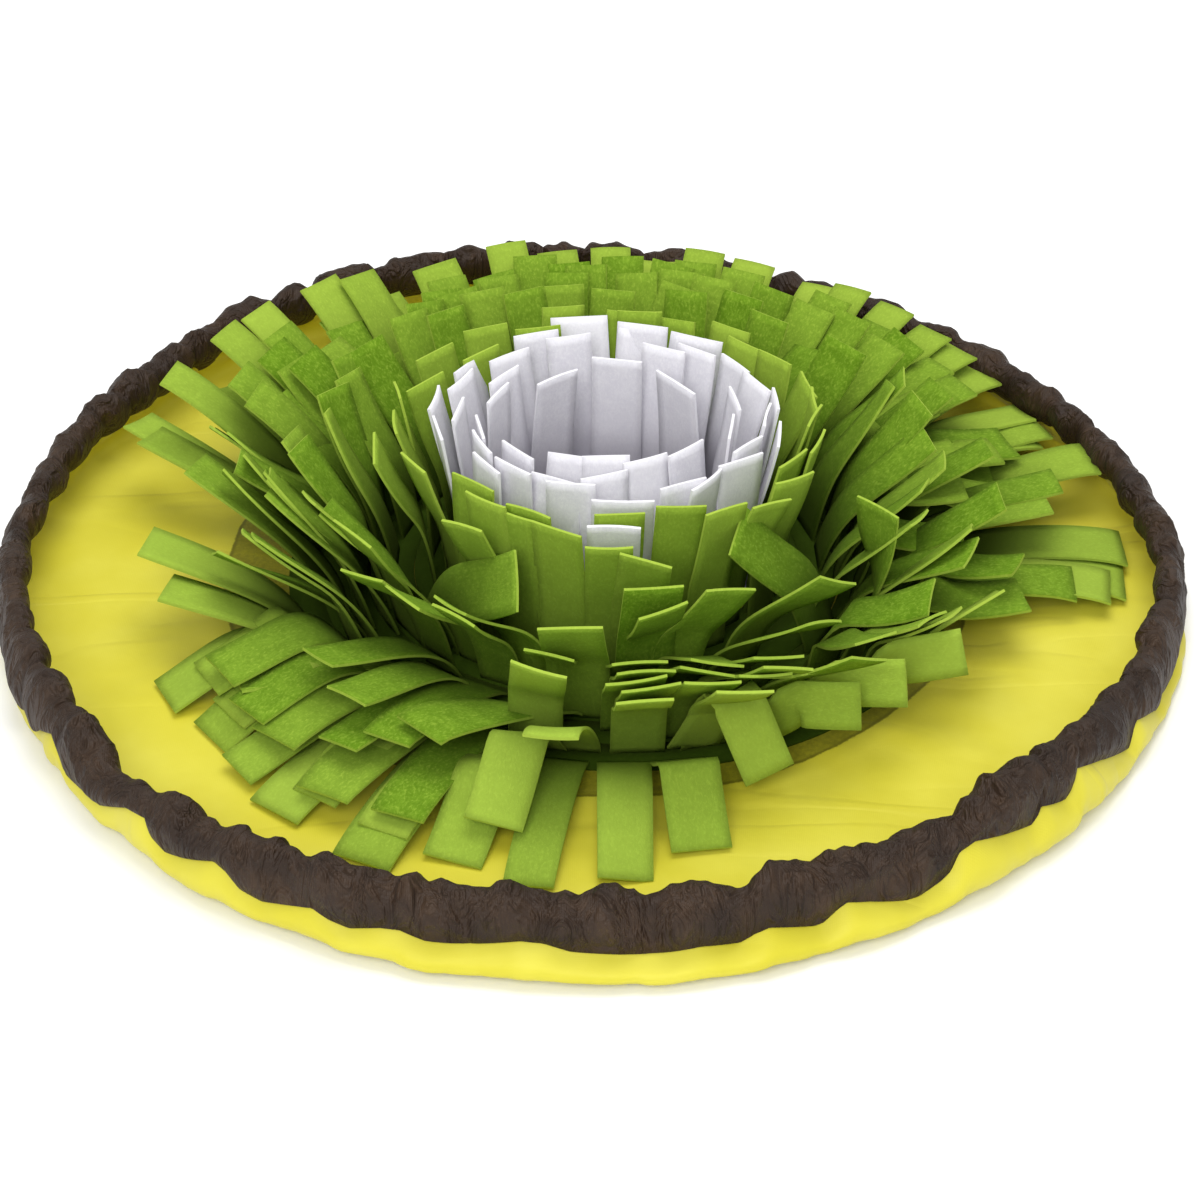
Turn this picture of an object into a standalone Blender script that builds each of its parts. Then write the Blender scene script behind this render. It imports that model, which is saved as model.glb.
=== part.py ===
import math
import random

import bpy
import bmesh
from mathutils import Vector

# A snuffle mat: a shallow dish of thin cloth with a gathered rim, and rings of felt fringe in it.
# The dish stands on z = 0 with its middle on the z axis, and its front faces -Y.

MM = 0.001

# Cloth thicknesses, and the clearance between pieces that touch
GROUND_THICK = 1.2 * MM
PATCH_THICK = 1.0 * MM
CASING_THICK = 1.0 * MM
FELT_THICK = 1.4 * MM
GAP = 0.3 * MM

# The patch under the felt lies a little right of and behind the middle
PATCH_MIDDLE = Vector((5 * MM, 16 * MM, 0))

# Dish: the rim by azimuth in degrees. Radius and height are of the casing's crown, and bulge is how
# far the wall below it swells out beyond the seam, all in millimetres.
RIM_COLUMNS = ("azimuth", "radius", "height", "bulge")
RIM = (
    (-180, 248, 35, 0.5),
    (-150, 246, 36, 1.0),
    (-120, 249, 38, 4.0),
    (-90, 248, 38, 9.0),
    (-60, 247, 38, 8.0),
    (-30, 249, 37, 5.0),
    (0, 254, 34, 2.0),
    (30, 247, 34, 1.0),
    (60, 245, 37, 2.0),
    (90, 249, 41, 3.0),
    (120, 252, 41, 3.0),
    (150, 248, 38, 1.0),
)
RIM_STATIONS = 56
FOLD_DEPTH = 1.8 * MM
FOLD_VARIES = 0.3
FOLD_LIFT = 0.8 * MM
CROWN_DROOP = 2.0

# How fast the depth, the lift and the droop change along the rim, in radians a station
DEPTH_RATE = 1.9
LIFT_RATE = 2.3
DROOP_RATE = 1.3

# Casing: its section from the outer seam over the crown to the inner seam, as steps out and up from
# the crown. The wall's edge is held between the two seams.
CASING_SECTION = (
    (6.0, -25.0),
    (5.4, -12.0),
    (0.0, -2.0),
    (-5.0, -0.5),
    (-8.5, -7.0),
    (2.6, -24.0),
)
WALL_EDGE = (4.3, -19.0)
WALL_UNDER_SEAM = (4.3, -26.5)

# Base patch: a round with an edge that is cut a little unevenly
PATCH_RADIUS = 165 * MM
PATCH_SIDES = 22
PATCH_UNEVEN = 1.2 * MM
PATCH_RATE = 2.4

# Ground cloth: it steps down off the patch, lies flat, then turns up in a rounded wall. Shares are
# of the height of the seam.
PATCH_CLEAR = 4 * MM
STEP_RUN = 8 * MM
FLOOR_INSET = 9 * MM
CORNER_RUN = 2.5 * MM
CORNER_SHARE = 0.2
BELLY_SHARE = 0.58

# Felt fringe: each row is a ring-shaped band that is cut into strips above a short sewn foot.
# Its middle and radius are in millimetres, steps are the lengths between a strip's bends, and
# jitter is how many degrees one strip may lean less than the table says.
FOOT_HEIGHT = 4 * MM
CUT_WIDTH = 0.8 * MM
STRIP_TRIM = 0.05
TWIST = 8
BEND_SHARES = (0.6, 1.07, 1.03)
SEED = 7
FRINGE_COLUMNS = ("name", "middle_x", "middle_y", "radius", "strips", "steps", "jitter", "colour")
FRINGES = (
    ("wreath_row_1", 16, 15, 139, 40, (10, 25, 45), 3, "green"),
    ("wreath_row_2", 14, 16, 125, 36, (20, 60), 4, "green"),
    ("wreath_row_3", 12, 17, 111, 32, (20, 60), 4, "green"),
    ("wreath_row_4", 10, 17, 97, 27, (20, 60), 4, "green"),
    ("collar_row", 9, 17, 74, 20, (30, 50), 3, "green"),
    ("cup_row_outer", 9, 17, 60, 16, (30, 50), 3, "white"),
    ("cup_row_inner", 9, 17, 46, 12, (30, 50), 2, "white"),
)

# How far each row leans out from upright, in degrees, by azimuth round the flower
LEAN_COLUMNS = ("azimuth", *(fringe[0] for fringe in FRINGES))
LEAN = (
    (-180, 88, 68, 50, 36, 10, 6, 3),
    (-135, 90, 80, 66, 48, 9, 5, 3),
    (-90, 91, 68, 52, 38, 12, 8, 5),
    (-45, 58, 46, 36, 26, 13, 9, 6),
    (0, 90, 72, 56, 40, 15, 10, 7),
    (45, 73, 56, 43, 30, 16, 13, 8),
    (90, 52, 42, 32, 22, 16, 14, 8),
    (135, 60, 48, 37, 27, 12, 9, 5),
)

COLOURS = {
    "yellow": (0.74, 0.67, 0.05),
    "brown": (0.060, 0.038, 0.028),
    "dark": (0.045, 0.035, 0.022),
    "green": (0.18, 0.37, 0.03),
    "white": (0.73, 0.72, 0.78),
}
ROUGHNESS = {"yellow": 0.6, "brown": 0.5, "dark": 0.8, "green": 0.95, "white": 0.95}


def clear_scene():
    for item in list(bpy.data.objects):
        bpy.data.objects.remove(item, do_unlink=True)


def cloth_material(colour):
    material = bpy.data.materials.get(colour)
    if material is None:
        material = bpy.data.materials.new(colour)
        material.use_nodes = True
        shader = material.node_tree.nodes["Principled BSDF"]
        shader.inputs["Base Color"].default_value = (*COLOURS[colour], 1.0)
        shader.inputs["Roughness"].default_value = ROUGHNESS[colour]
        shader.inputs["Metallic"].default_value = 0.0
    return material


def look_up(table, columns, name, azimuth):
    # A smooth curve through one column of a table whose rows are evenly spaced round the circle
    column = columns.index(name)
    count = len(table)
    place = (azimuth - table[0][0]) / 360 * count
    row = math.floor(place)
    t = place - row
    a, b, c, d = (table[(row + k) % count][column] for k in (-1, 0, 1, 2))
    slope_b = (c - a) / 2
    slope_c = (d - b) / 2
    return (
        (2 * t**3 - 3 * t**2 + 1) * b
        + (t**3 - 2 * t**2 + t) * slope_b
        + (3 * t**2 - 2 * t**3) * c
        + (t**3 - t**2) * slope_c
    )


def outward(azimuth):
    angle = math.radians(azimuth)
    return Vector((math.cos(angle), math.sin(angle), 0))


def sideways(azimuth):
    angle = math.radians(azimuth)
    return Vector((-math.sin(angle), math.cos(angle), 0))


def sheet_object(name, mesh_data, thickness, colour, collection):
    mesh = bpy.data.meshes.new(name)
    bmesh.ops.recalc_face_normals(mesh_data, faces=mesh_data.faces)
    mesh_data.to_mesh(mesh)
    mesh_data.free()
    piece = bpy.data.objects.new(name, mesh)
    collection.objects.link(piece)
    mesh.materials.append(cloth_material(colour))
    solid = piece.modifiers.new("thickness", "SOLIDIFY")
    solid.thickness = thickness
    solid.offset = 0.0
    solid.use_even_offset = True
    return piece


def join_rings(mesh_data, lower, upper):
    count = len(lower)
    for k in range(count):
        n = (k + 1) % count
        mesh_data.faces.new((lower[k], lower[n], upper[n], upper[k]))


def station_azimuths():
    return [-180 + 360 * k / RIM_STATIONS for k in range(RIM_STATIONS)]


def fold(station):
    # The rim is drawn up in folds: every other station stands in or out, some more than others
    side = 1 if station % 2 else -1
    share = 1 - FOLD_VARIES + FOLD_VARIES * math.sin(DEPTH_RATE * station)
    return side * FOLD_DEPTH * share


def rim_point(station, azimuth, step):
    out, up = step
    radius = look_up(RIM, RIM_COLUMNS, "radius", azimuth) + out
    height = look_up(RIM, RIM_COLUMNS, "height", azimuth) + up
    lift = FOLD_LIFT * math.sin(LIFT_RATE * station)
    if out < 0:
        radius += CROWN_DROOP * math.sin(DROOP_RATE * station)
    place = outward(azimuth) * (radius * MM + fold(station))
    return place + Vector((0, 0, height * MM + lift))


def ground_rings():
    over_patch = PATCH_THICK + GAP + GROUND_THICK / 2
    on_floor = GROUND_THICK / 2
    patch_edge = PATCH_RADIUS + PATCH_CLEAR
    rings = [[], [], [], [], [], [], []]
    for station, azimuth in enumerate(station_azimuths()):
        out = outward(azimuth)
        crown = look_up(RIM, RIM_COLUMNS, "radius", azimuth) * MM
        swell = look_up(RIM, RIM_COLUMNS, "bulge", azimuth) * MM
        rings[0].append(PATCH_MIDDLE + out * patch_edge + Vector((0, 0, over_patch)))
        rings[1].append(PATCH_MIDDLE + out * (patch_edge + STEP_RUN) + Vector((0, 0, on_floor)))
        seam = rim_point(station, azimuth, WALL_UNDER_SEAM)
        corner_height = on_floor + seam.z * CORNER_SHARE
        rings[2].append(out * (crown - FLOOR_INSET) + Vector((0, 0, on_floor)))
        rings[3].append(out * (crown + CORNER_RUN + swell) + Vector((0, 0, corner_height)))
        belly = crown + WALL_EDGE[0] * MM + swell + fold(station) / 2
        rings[4].append(out * belly + Vector((0, 0, seam.z * BELLY_SHARE)))
        rings[5].append(seam)
        rings[6].append(rim_point(station, azimuth, WALL_EDGE))
    return over_patch, rings


def ground_cloth(collection):
    middle_height, rings = ground_rings()
    mesh_data = bmesh.new()
    loops = [[mesh_data.verts.new(point) for point in ring] for ring in rings]
    for lower, upper in zip(loops, loops[1:]):
        join_rings(mesh_data, lower, upper)
    middle = mesh_data.verts.new(PATCH_MIDDLE + Vector((0, 0, middle_height)))
    inner = loops[0]
    for k in range(len(inner)):
        mesh_data.faces.new((middle, inner[k], inner[(k + 1) % len(inner)]))
    return sheet_object("ground_cloth", mesh_data, GROUND_THICK, "yellow", collection)


def rim_casing(collection):
    mesh_data = bmesh.new()
    loops = []
    for step in CASING_SECTION:
        ring = [rim_point(k, azimuth, step) for k, azimuth in enumerate(station_azimuths())]
        loops.append([mesh_data.verts.new(point) for point in ring])
    for lower, upper in zip(loops, loops[1:]):
        join_rings(mesh_data, lower, upper)
    return sheet_object("rim_casing", mesh_data, CASING_THICK, "brown", collection)


def base_patch(collection):
    mesh_data = bmesh.new()
    bmesh.ops.create_circle(mesh_data, cap_ends=True, segments=PATCH_SIDES, radius=PATCH_RADIUS)
    for k, vert in enumerate(mesh_data.verts):
        vert.co *= 1 + PATCH_UNEVEN / PATCH_RADIUS * math.sin(PATCH_RATE * k)
        vert.co += PATCH_MIDDLE + Vector((0, 0, PATCH_THICK / 2))
    return sheet_object("base_patch", mesh_data, PATCH_THICK, "dark", collection)


def strip_rows(azimuth, root, width, steps, lean, twist):
    # Points down both edges of one strip, from the sewn foot to the tip. It bends over at its root.
    out = outward(azimuth)
    across = sideways(azimuth)
    centre = root.copy()
    length = sum(steps)
    reach = 0
    rows = []
    for step, share in zip(steps, BEND_SHARES):
        tilt = math.radians(lean * share)
        along = out * math.sin(tilt) + Vector((0, 0, math.cos(tilt)))
        centre = centre + along * step
        reach += step
        turn = math.radians(twist * reach / length)
        edge = (across * math.cos(turn) + along.cross(across) * math.sin(turn)) * (width / 2)
        rows.append((centre - edge, centre + edge))
    return rows


def foot_band(mesh_data, middle, radius, strips):
    # The uncut foot of a row. Its corners come in pairs, one pair under each strip.
    low_height = PATCH_THICK + GAP + GROUND_THICK + GAP
    half_strip = 180 / strips - math.degrees(CUT_WIDTH / 2 / radius)
    low = []
    high = []
    for k in range(strips):
        for side in (-half_strip, half_strip):
            corner = middle + outward(strip_azimuth(k, strips) + side) * radius
            low.append(mesh_data.verts.new(corner + Vector((0, 0, low_height))))
            high.append(mesh_data.verts.new(corner + Vector((0, 0, low_height + FOOT_HEIGHT))))
    join_rings(mesh_data, low, high)
    return high


def strip_azimuth(k, strips):
    return -180 + 360 / strips * (k + 0.5)


def fringe_row(fringe, collection):
    row = dict(zip(FRINGE_COLUMNS, fringe))
    chance = random.Random(SEED + row["strips"])
    middle = Vector((row["middle_x"] * MM, row["middle_y"] * MM, 0))
    mesh_data = bmesh.new()
    corners = foot_band(mesh_data, middle, row["radius"] * MM, row["strips"])
    for k in range(row["strips"]):
        azimuth = strip_azimuth(k, row["strips"])
        left, right = corners[2 * k], corners[2 * k + 1]
        lean = look_up(LEAN, LEAN_COLUMNS, row["name"], azimuth)
        lean -= chance.uniform(0, row["jitter"])
        twist = chance.uniform(-TWIST, TWIST)
        trim = 1 - chance.uniform(0, STRIP_TRIM)
        root = (left.co + right.co) / 2
        width = (right.co - left.co).length
        steps = [step * MM * trim for step in row["steps"]]
        for pair in strip_rows(azimuth, root, width, steps, lean, twist):
            next_left, next_right = (mesh_data.verts.new(point) for point in pair)
            mesh_data.faces.new((left, right, next_right, next_left))
            left, right = next_left, next_right
    return sheet_object(row["name"], mesh_data, FELT_THICK, row["colour"], collection)


def build():
    clear_scene()
    collection = bpy.data.collections.new("snuffle_mat")
    bpy.context.scene.collection.children.link(collection)
    base_patch(collection)
    ground_cloth(collection)
    rim_casing(collection)
    for fringe in FRINGES:
        fringe_row(fringe, collection)


build()
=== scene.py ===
import random
from math import atan2, cos, degrees, hypot, pi, radians, sin, tan

import bpy
import numpy as np
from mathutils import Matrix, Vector, noise


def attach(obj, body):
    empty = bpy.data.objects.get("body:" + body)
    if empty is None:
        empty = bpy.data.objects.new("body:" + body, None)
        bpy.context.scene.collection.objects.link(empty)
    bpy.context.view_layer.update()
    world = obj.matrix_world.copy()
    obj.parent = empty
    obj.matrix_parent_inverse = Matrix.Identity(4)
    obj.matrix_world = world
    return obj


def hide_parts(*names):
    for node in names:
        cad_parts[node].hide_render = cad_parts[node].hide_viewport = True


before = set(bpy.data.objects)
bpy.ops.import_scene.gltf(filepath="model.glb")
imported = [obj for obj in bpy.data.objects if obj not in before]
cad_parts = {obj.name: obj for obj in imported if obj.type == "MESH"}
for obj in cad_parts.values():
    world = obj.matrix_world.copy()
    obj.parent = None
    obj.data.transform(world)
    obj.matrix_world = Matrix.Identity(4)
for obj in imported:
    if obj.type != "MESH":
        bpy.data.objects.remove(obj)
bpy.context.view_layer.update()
print("frame loaded")

mm = 0.001

# the picture is taken to be 1200 by 1200, and the front of the mat faces -Y
view = {
    "side": 1200,
    "focal": 2960.0,  # in pixels
    "distance": 1.3,
    "elevation": 34.7,  # degrees above the ground
    "aim": (0.0067, -0.0067, 0.0),
}


def cameraAxes():
    tilt = radians(view["elevation"])
    forward = Vector((0, cos(tilt), -sin(tilt)))
    up = Vector((0, sin(tilt), cos(tilt)))
    place = Vector(view["aim"]) - forward * view["distance"]
    return place, forward, up


def pixelPoint(x, y, height):
    # the point at this height that shows at pixel x, y, in mm
    place, forward, up = cameraAxes()
    half = view["side"] / 2
    ray = forward + Vector((1, 0, 0)) * ((x - half) / view["focal"]) + up * ((half - y) / view["focal"])
    return (place + ray * ((height * mm - place.z) / ray.z)) / mm


def addObject(name, data):
    made = bpy.data.objects.new(name, data)
    bpy.context.scene.collection.objects.link(made)
    return made


def makeCamera():
    place, forward, up = cameraAxes()
    data = bpy.data.cameras.new("camera")
    data.sensor_width = 36.0
    data.lens = view["focal"] / view["side"] * data.sensor_width
    camera = addObject("camera", data)
    camera.location = place
    camera.rotation_euler = forward.to_track_quat("-Z", "Y").to_euler()
    bpy.context.scene.camera = camera


makeCamera()
print("camera placed")


class Wire:
    # one socket of a material, on which sums can be written
    def __init__(self, cloth, socket):
        self.cloth = cloth
        self.socket = socket

    def sum(self, operation, first, second):
        return self.cloth.node("ShaderNodeMath", {"operation": operation}, {0: first, 1: second})

    def __add__(self, other):
        return self.sum("ADD", self, other)

    def __sub__(self, other):
        return self.sum("SUBTRACT", self, other)

    def __rsub__(self, other):
        return self.sum("SUBTRACT", other, self)

    def __mul__(self, other):
        return self.sum("MULTIPLY", self, other)

    __radd__ = __add__
    __rmul__ = __mul__


class Cloth:
    # a material under way, made of nodes
    def __init__(self, name):
        self.material = bpy.data.materials.new(name)
        self.material.use_nodes = True
        self.tree = self.material.node_tree
        self.shader = self.tree.nodes["Principled BSDF"]

    def node(self, kind, settings, inputs, output=0):
        made = self.tree.nodes.new(kind)
        for key, value in settings.items():
            setattr(made, key, value)
        for key, value in inputs.items():
            self.feed(made.inputs[key], value)
        return Wire(self, made.outputs[output])

    def feed(self, socket, value):
        if isinstance(value, Wire):
            self.tree.links.new(value.socket, socket)
        elif socket.type == "RGBA":
            socket.default_value = (*value, 1.0)
        else:
            socket.default_value = value

    def surface(self, values):
        for key, value in values.items():
            self.feed(self.shader.inputs[key], value)

    def letThrough(self, share, colour):
        # the share of light that passes through the cloth, and its colour
        front = Wire(self, self.shader.outputs[0])
        behind = self.node("ShaderNodeBsdfTranslucent", {}, {"Color": colour})
        mixed = self.node("ShaderNodeMixShader", {}, {0: share, 1: front, 2: behind})
        self.feed(self.tree.nodes["Material Output"].inputs["Surface"], mixed)

    def blend(self, factor, first, second):
        # first and second are colours
        settings = {"data_type": "RGBA", "clamp_factor": True}
        return self.node("ShaderNodeMix", settings, {0: factor, 6: first, 7: second}, output=2)

    def noise(self, place, scale, detail=3.0, roughness=0.55, distortion=0.0):
        if isinstance(scale, tuple):
            place, scale = self.stretch(place, scale), 1.0
        inputs = {"Vector": place, "Scale": scale, "Detail": detail, "Roughness": roughness,
                  "Distortion": distortion}
        return self.node("ShaderNodeTexNoise", {}, inputs)

    def stretch(self, vector, factors):
        return self.node("ShaderNodeVectorMath", {"operation": "MULTIPLY"}, {0: vector, 1: factors})

    def clip(self, value, low, high):
        # 0 at low, 1 at high, smooth between
        inputs = {"Value": value, "From Min": low, "From Max": high}
        return self.node("ShaderNodeMapRange", {"interpolation_type": "SMOOTHSTEP"}, inputs)

    def attribute(self, name):
        return self.node("ShaderNodeAttribute", {"attribute_name": name}, {}, output=2)

    def bump(self, height, distance, strength):
        inputs = {"Height": height, "Distance": distance, "Strength": strength}
        return self.node("ShaderNodeBump", {}, inputs)


felt = {
    "green": {
        "light": (0.465, 0.615, 0.082),
        "mid": (0.180, 0.325, 0.020),
        "deep": (0.105, 0.215, 0.008),
        # foot: painted shade colour that the strips take at their roots
        "foot": (0.024, 0.046, 0.003),
        "through": (0.50, 0.66, 0.03),
    },
    "white": {
        "light": (0.930, 0.920, 0.950),
        "mid": (0.860, 0.850, 0.890),
        "deep": (0.720, 0.705, 0.770),
        # foot: painted shade colour that the strips take at their roots
        "foot": (0.400, 0.380, 0.440),
        "through": (0.86, 0.85, 0.88),
    },
    "clouds": 130.0,  # to the metre
    "flecks": (900.0, 520.0, 1.0),
    "hairs": (2600.0, 700.0, 1.0),
    "fleckShare": 0.32,  # how much flecks, the strip's tone (partly painted light) and a cut edge (a painted highlight) lighten the felt
    "toneAndLightShare": 0.62,
    "cutHighlightShare": 0.6,
    "footShadeShare": 0.92,  # how much of the painted shade at the strips' feet shows at the seam
    "through": 0.16,  # share of light that passes through
}


def feltCloth(colour):
    cloth, dye = Cloth(colour + "Felt"), felt[colour]
    place = cloth.node("ShaderNodeUVMap", {"uv_map": "felt"}, {})
    clouds = cloth.noise(place, felt["clouds"], 3.0, 0.6)
    flecks = cloth.noise(place, felt["flecks"], 3.0, 0.7, 0.6)
    hairs = cloth.noise(place, felt["hairs"], 2.0, 0.6, 1.2)
    mottle = cloth.clip(clouds * 0.45 + flecks * 0.55, 0.36, 0.66)
    dyed = cloth.blend(mottle, dye["deep"], dye["mid"])
    dyed = cloth.blend(cloth.clip(flecks, 0.50, 0.72) * felt["fleckShare"], dyed, dye["light"])
    # painted light: the strip's tone lightens the felt, more on the flat outer row and less on the inner
    # wreath rows; within a ring it varies at random
    dyed = cloth.blend(cloth.attribute("tone") * felt["toneAndLightShare"], dyed, dye["light"])
    # painted highlight: the cut edges of the felt are lighter
    dyed = cloth.blend(cloth.attribute("cut") * felt["cutHighlightShare"], dyed, dye["light"])
    # painted shade: the felt darkens from tip to root, for the shade deep among the strips
    foot = (1 - cloth.clip(cloth.attribute("rise"), 0.05, 0.95)) * felt["footShadeShare"]
    dyed = cloth.blend(foot, dyed, dye["foot"])
    cloth.surface({"Base Color": dyed, "Roughness": 0.95, "Specular IOR Level": 0.08,
                   "Sheen Weight": 0.06, "Sheen Roughness": 0.5, "Sheen Tint": dye["light"],
                   "Normal": cloth.bump(flecks * 0.6 + hairs * 0.4, 0.0004, 0.8)})
    cloth.letThrough(felt["through"], dye["through"])
    return cloth.material


thin = {
    "yellow": (0.790, 0.725, 0.070),
    "yellowDeep": (0.710, 0.640, 0.035),
    "yellowThrough": (0.80, 0.72, 0.06),
    "through": 0.18,
    "olive": (0.200, 0.185, 0.006),
    "oliveEdge": (0.120, 0.105, 0.005),
    "brown": (0.050, 0.028, 0.015),
    "brownDeep": (0.022, 0.012, 0.007),
    "brownSheen": (0.55, 0.42, 0.36),
    "dark": (0.045, 0.035, 0.022),
    "darkFleck": (0.11, 0.09, 0.055),
    "threads": 2600.0,  # to the metre
    "darkThreads": 1200.0,
    "creases": (4.0, 17.0, 4.0),
    "gathers": (105.0, 105.0, 30.0),
    "crumples": (300.0, 300.0, 120.0),
}


def weaveHeight(cloth, place, threads):
    # crossing threads, as two waves at right angles
    steps = cloth.stretch(place, (threads, threads, threads))
    waves = [cloth.node("ShaderNodeTexWave", {"bands_direction": way}, {"Vector": steps, "Scale": 0.16})
             for way in ("X", "Y")]
    return waves[0] * 0.5 + waves[1] * 0.5


def yellowCloth():
    # so thin that the dark patch under it shows as olive
    cloth = Cloth("yellowPolyester")
    place = cloth.node("ShaderNodeTexCoord", {}, {}, output=3)
    spread = cloth.clip(cloth.noise(place, 14.0, 4.0, 0.55), 0.35, 0.7)
    dyed = cloth.blend(spread, thin["yellowDeep"], thin["yellow"])
    slow = cloth.noise(place, thin["creases"], 2.0, 0.4, 0.5) - 0.5
    crease = 1 - cloth.clip(slow * slow, 0.0, 0.0022)  # where the slow noise crosses its middle
    # painted shade: the cloth is darker along the creases
    dyed = cloth.blend(crease * 0.16, dyed, thin["yellowDeep"])
    middle = placed(Vector(), 0.0, ground["patchMiddle"])
    shifted = cloth.node("ShaderNodeVectorMath", {"operation": "SUBTRACT"}, {0: place, 1: middle})
    flat = cloth.stretch(shifted, (1.0, 1.0, 0.0))
    reach = cloth.node("ShaderNodeVectorMath", {"operation": "LENGTH"}, {0: flat}, output=1)
    fray = cloth.noise(place, 22.0, 2.0) * 0.006 + cloth.noise(place, 700.0, 2.0) * 0.0014
    edge = reach + fray - (ground["patchRadius"] * mm + 0.0037)
    under = 1 - cloth.clip(edge, -0.0005, 0.0005)
    grain = cloth.clip(cloth.noise(place, 500.0, 3.0, 0.7), 0.3, 0.75)
    olive = cloth.blend(grain * 0.35, thin["olive"], thin["yellowDeep"])
    dyed = cloth.blend(under * 0.88, dyed, olive)
    rawEdge = under * cloth.clip(edge, -0.0022, -0.0008)
    dyed = cloth.blend(rawEdge * 0.6, dyed, thin["oliveEdge"])
    bumps = weaveHeight(cloth, place, thin["threads"]) * 0.1
    bumps = bumps + cloth.noise(place, 38.0, 4.0, 0.6) * 1.5 + crease * 1.3
    cloth.surface({"Base Color": dyed, "Roughness": 0.52, "Specular IOR Level": 0.35, "Sheen Weight": 0.15,
                   "Sheen Roughness": 0.4, "Normal": cloth.bump(bumps, 0.0008, 0.35)})
    cloth.letThrough(thin["through"], thin["yellowThrough"])
    return cloth.material


def brownCloth():
    cloth = Cloth("brownPolyester")
    place = cloth.node("ShaderNodeTexCoord", {}, {}, output=3)
    spread = cloth.clip(cloth.noise(place, 45.0, 4.0, 0.6), 0.3, 0.72)
    # gathers: folds that run across the tube, sharp at the bottom
    folds = cloth.noise(place, thin["gathers"], 3.0, 0.55, 0.9)
    folds = cloth.node("ShaderNodeMath", {"operation": "ABSOLUTE"}, {0: folds - 0.5}) * 2.0
    crumple = cloth.noise(place, thin["crumples"], 3.0, 0.6, 0.5)
    dyed = cloth.blend(spread, thin["brownDeep"], thin["brown"])
    # painted shade: the cloth is darker along the sharp bottoms of the folds
    dyed = cloth.blend((1 - cloth.clip(folds, 0.0, 0.12)) * 0.55, dyed, thin["brownDeep"])
    bumps = cloth.clip(folds, 0.0, 0.45) * 3.0 + crumple * 1.1
    bumps = bumps + weaveHeight(cloth, place, thin["threads"]) * 0.12
    cloth.surface({"Base Color": dyed, "Roughness": 0.55, "Specular IOR Level": 0.24, "Sheen Weight": 0.02,
                   "Sheen Roughness": 0.35, "Sheen Tint": thin["brownSheen"],
                   "Normal": cloth.bump(bumps, 0.0011, 0.8)})
    return cloth.material


def darkCloth():
    cloth = Cloth("darkPatch")
    place = cloth.node("ShaderNodeTexCoord", {}, {}, output=3)
    spread = cloth.clip(cloth.noise(place, 300.0, 4.0, 0.7), 0.3, 0.75)
    dyed = cloth.blend(spread * 0.6, thin["dark"], thin["darkFleck"])
    bumps = weaveHeight(cloth, place, thin["darkThreads"])
    cloth.surface({"Base Color": dyed, "Roughness": 0.9, "Normal": cloth.bump(bumps, 0.0003, 0.6)})
    return cloth.material


def smooth(before, start, end, after, t):
    # a place on the smooth curve through four values, t of the way from the second to the third
    out, back = (end - before) / 2, (after - start) / 2
    near = (2 * t**3 - 3 * t**2 + 1) * start + (t**3 - 2 * t**2 + t) * out
    return near + (3 * t**2 - 2 * t**3) * end + (t**3 - t**2) * back


def lookUp(values, azimuth):
    # a smooth curve through values that go evenly round the circle, from -180 degrees
    place = (azimuth + 180) / 360 * len(values)
    row = int(place // 1)
    return smooth(*(values[(row + k) % len(values)] for k in (-1, 0, 1, 2)), place - row)


def outward(azimuth):
    return Vector((cos(radians(azimuth)), sin(radians(azimuth)), 0))


def azimuths(count):
    return [-180 + 360 * k / count for k in range(count)]


def placed(point, height, middle=(0.0, 0.0)):
    # a point in mm as a corner of a mesh, in metres
    return (point.x + middle[0]) * mm, (point.y + middle[1]) * mm, height * mm


def addPiece(name, verts, faces, material, nodes, smooth=True):
    mesh = bpy.data.meshes.new(name)
    mesh.from_pydata(verts, [], faces)
    mesh.materials.append(material)
    mesh.polygons.foreach_set("use_smooth", [smooth] * len(mesh.polygons))
    mesh.update()
    piece = addObject(name, mesh)
    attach(piece, "root")
    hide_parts(*nodes)
    return piece


# radius and height of the casing's crown and swell of the wall below it, in mm, by azimuth from -180 in
# steps of 30 degrees
rim = {
    "radius": (248, 246, 249, 248, 247, 249, 254, 247, 245, 249, 252, 248),
    "height": (35, 36, 38, 38, 38, 37, 34, 34, 37, 41, 41, 38),
    "bulge": (0.5, 1.0, 4.0, 9.0, 8.0, 5.0, 2.0, 1.0, 2.0, 3.0, 3.0, 1.0),
}


def softNoise(x, y, z=0.0):
    return noise.noise(Vector((x, y, z)))


def roundNoise(azimuth, waves, seed, z=0.0):
    # noise that closes on itself, with about this many waves round the rim
    angle = radians(azimuth)
    reach = waves / (2 * pi)
    return softNoise(cos(angle) * reach, sin(angle) * reach + seed * 17.3, z)


def evenly(line, count):
    # the same line with its points at even distances
    steps = np.linalg.norm(np.diff(line, axis=0), axis=1)
    along = np.concatenate([[0], np.cumsum(steps)])
    wanted = np.linspace(0, along[-1], count)
    return np.stack([np.interp(wanted, along, line[:, k]) for k in range(line.shape[1])], axis=1)


def curveThrough(points, count):
    # a smooth curve through the points
    points = [np.array(p, float) for p in points]
    ends = [2 * points[0] - points[1]] + points + [2 * points[-1] - points[-2]]
    fine = []
    for k in range(len(points) - 1):
        fine += [smooth(*ends[k:k + 4], t) for t in np.linspace(0, 1, 12, endpoint=False)]
    return evenly(np.array(fine + [points[-1]]), count)


def ringFaces(rows, count):
    # quads between rings of points that follow one another
    return [(r + k, r + (k + 1) % count, r + count + (k + 1) % count, r + count + k)
            for r in range(0, (rows - 1) * count, count) for k in range(count)]


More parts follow.
